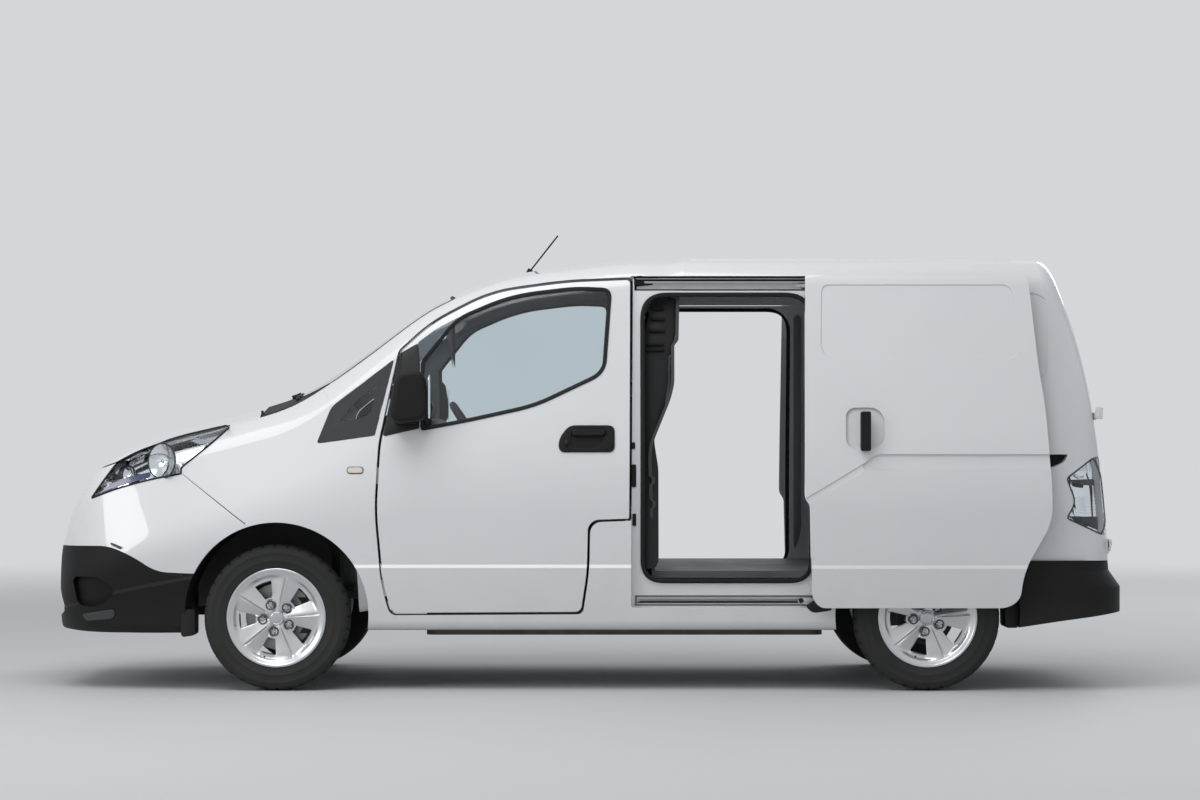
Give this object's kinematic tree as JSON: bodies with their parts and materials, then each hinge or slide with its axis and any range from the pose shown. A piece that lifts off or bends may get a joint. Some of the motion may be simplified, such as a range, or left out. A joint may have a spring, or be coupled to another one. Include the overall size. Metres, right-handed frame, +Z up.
{
  "type": "panel van",
  "caption": "Small electric panel van with a short sloping bonnet, glazed cab, bulkhead and load space, standing with its side doors slid open.",
  "frame": {"origin": "bottom centre of the whole van's bounding box, on the ground", "axes": "+Z up, +X towards the tail, -Y towards the van's left side"},
  "size_m": [4.5599, 2.01, 1.9642],
  "materials": {
    "paint": "gloss",
    "black_trim": "matte",
    "glass": "gloss",
    "lamp": "gloss",
    "tail_lamp": "gloss",
    "floor": "satin",
    "dark_metal": "matte",
    "bulkhead": "satin",
    "cab_plastic": "matte",
    "seat_fabric": "matte",
    "rail": "satin",
    "tyre": "matte",
    "alloy": "satin",
    "disc": "satin",
    "battery": "satin"
  },
  "bodies": {
    "body": {"body_side_left": "paint", "body_side_right": "paint", "roof": "paint", "front_wings": "paint", "front_fascia": "paint", "front_bumper": "black_trim", "rear_bumper": "black_trim", "scuttle": "paint", "windscreen": "glass", "quarter_glasses": "glass", "headlamps": "lamp", "tail_lamps": "tail_lamp", "sliding_door_left": "paint", "sliding_door_right": "paint", "sliding_handles": "black_trim", "slide_rails": "rail", "floor_pan": "floor", "bulkhead": "bulkhead", "arch_liners": "black_trim", "dashboard": "cab_plastic", "seats": "seat_fabric", "battery_pack": "battery", "motor_unit": "dark_metal", "front_suspension": "dark_metal", "rear_axle": "dark_metal", "leaf_springs": "dark_metal", "aerial": "black_trim"},
    "bonnet": {"bonnet": "paint"},
    "front_door_left": {"front_door_left": "paint", "door_glass_left": "glass", "mirror_left": "black_trim"},
    "front_door_right": {"front_door_right": "paint", "door_glass_right": "glass", "mirror_right": "black_trim"},
    "rear_door_left": {"rear_door_left": "paint", "rear_glass_left": "glass"},
    "rear_door_right": {"rear_door_right": "paint", "rear_glass_right": "glass"},
    "steering_wheel": {"steering_wheel": "cab_plastic"},
    "knuckle_left": {"knuckle_left": "dark_metal"},
    "knuckle_right": {"knuckle_right": "dark_metal"},
    "wheel_fl": {"tyre_fl": "tyre", "rim_fl": "alloy", "brake_disc_fl": "disc"},
    "wheel_fr": {"tyre_fr": "tyre", "rim_fr": "alloy", "brake_disc_fr": "disc"},
    "wheel_rl": {"tyre_rl": "tyre", "rim_rl": "alloy"},
    "wheel_rr": {"tyre_rr": "tyre", "rim_rr": "alloy"}
  },
  "joints": [
    {"name": "steering_wheel_turn", "type": "hinge", "parent": "body", "child": "steering_wheel", "pos_m": [-0.5, -0.37, 1.06], "axis": [0.8412, 0, 0.5408], "range_deg": [-540, 540]},
    {"name": "steer_left", "type": "hinge", "parent": "body", "child": "knuckle_left", "pos_m": [-1.31, -0.68, 0.306], "axis": [0, 0, 1], "range_deg": [-36, 36]},
    {"name": "steer_right", "type": "hinge", "parent": "body", "child": "knuckle_right", "pos_m": [-1.31, 0.68, 0.306], "axis": [0, 0, 1], "range_deg": [-36, 36]},
    {"name": "spin_fl", "type": "hinge", "parent": "knuckle_left", "child": "wheel_fl", "pos_m": [-1.31, -0.765, 0.306], "axis": [0, 1, 0], "continuous": true},
    {"name": "spin_fr", "type": "hinge", "parent": "knuckle_right", "child": "wheel_fr", "pos_m": [-1.31, 0.765, 0.306], "axis": [0, 1, 0], "continuous": true},
    {"name": "spin_rl", "type": "hinge", "parent": "body", "child": "wheel_rl", "pos_m": [1.415, -0.765, 0.306], "axis": [0, 1, 0], "continuous": true},
    {"name": "spin_rr", "type": "hinge", "parent": "body", "child": "wheel_rr", "pos_m": [1.415, 0.765, 0.306], "axis": [0, 1, 0], "continuous": true},
    {"name": "open_front_door_left", "type": "hinge", "parent": "body", "child": "front_door_left", "pos_m": [-0.898, -0.884, 0.9], "axis": [0, 0, -1], "range_deg": [0, 68]},
    {"name": "open_front_door_right", "type": "hinge", "parent": "body", "child": "front_door_right", "pos_m": [-0.898, 0.884, 0.9], "axis": [0, 0, 1], "range_deg": [0, 68]},
    {"name": "open_bonnet", "type": "hinge", "parent": "body", "child": "bonnet", "pos_m": [-1.396, 0, 1.207], "axis": [0, 1, 0], "range_deg": [0, 55]},
    {"name": "open_rear_door_left", "type": "hinge", "parent": "body", "child": "rear_door_left", "pos_m": [2.185, -0.745, 0.6], "axis": [0.078, 0, -0.997], "range_deg": [0, 90]},
    {"name": "open_rear_door_right", "type": "hinge", "parent": "body", "child": "rear_door_right", "pos_m": [2.185, 0.745, 0.6], "axis": [-0.078, 0, 0.997], "range_deg": [0, 90]}
  ],
  "couplings": [
    {"joint": "steer_left", "follows": "steering_wheel_turn", "ratio": 0.066666},
    {"joint": "steer_right", "follows": "steering_wheel_turn", "ratio": 0.066666}
  ]
}
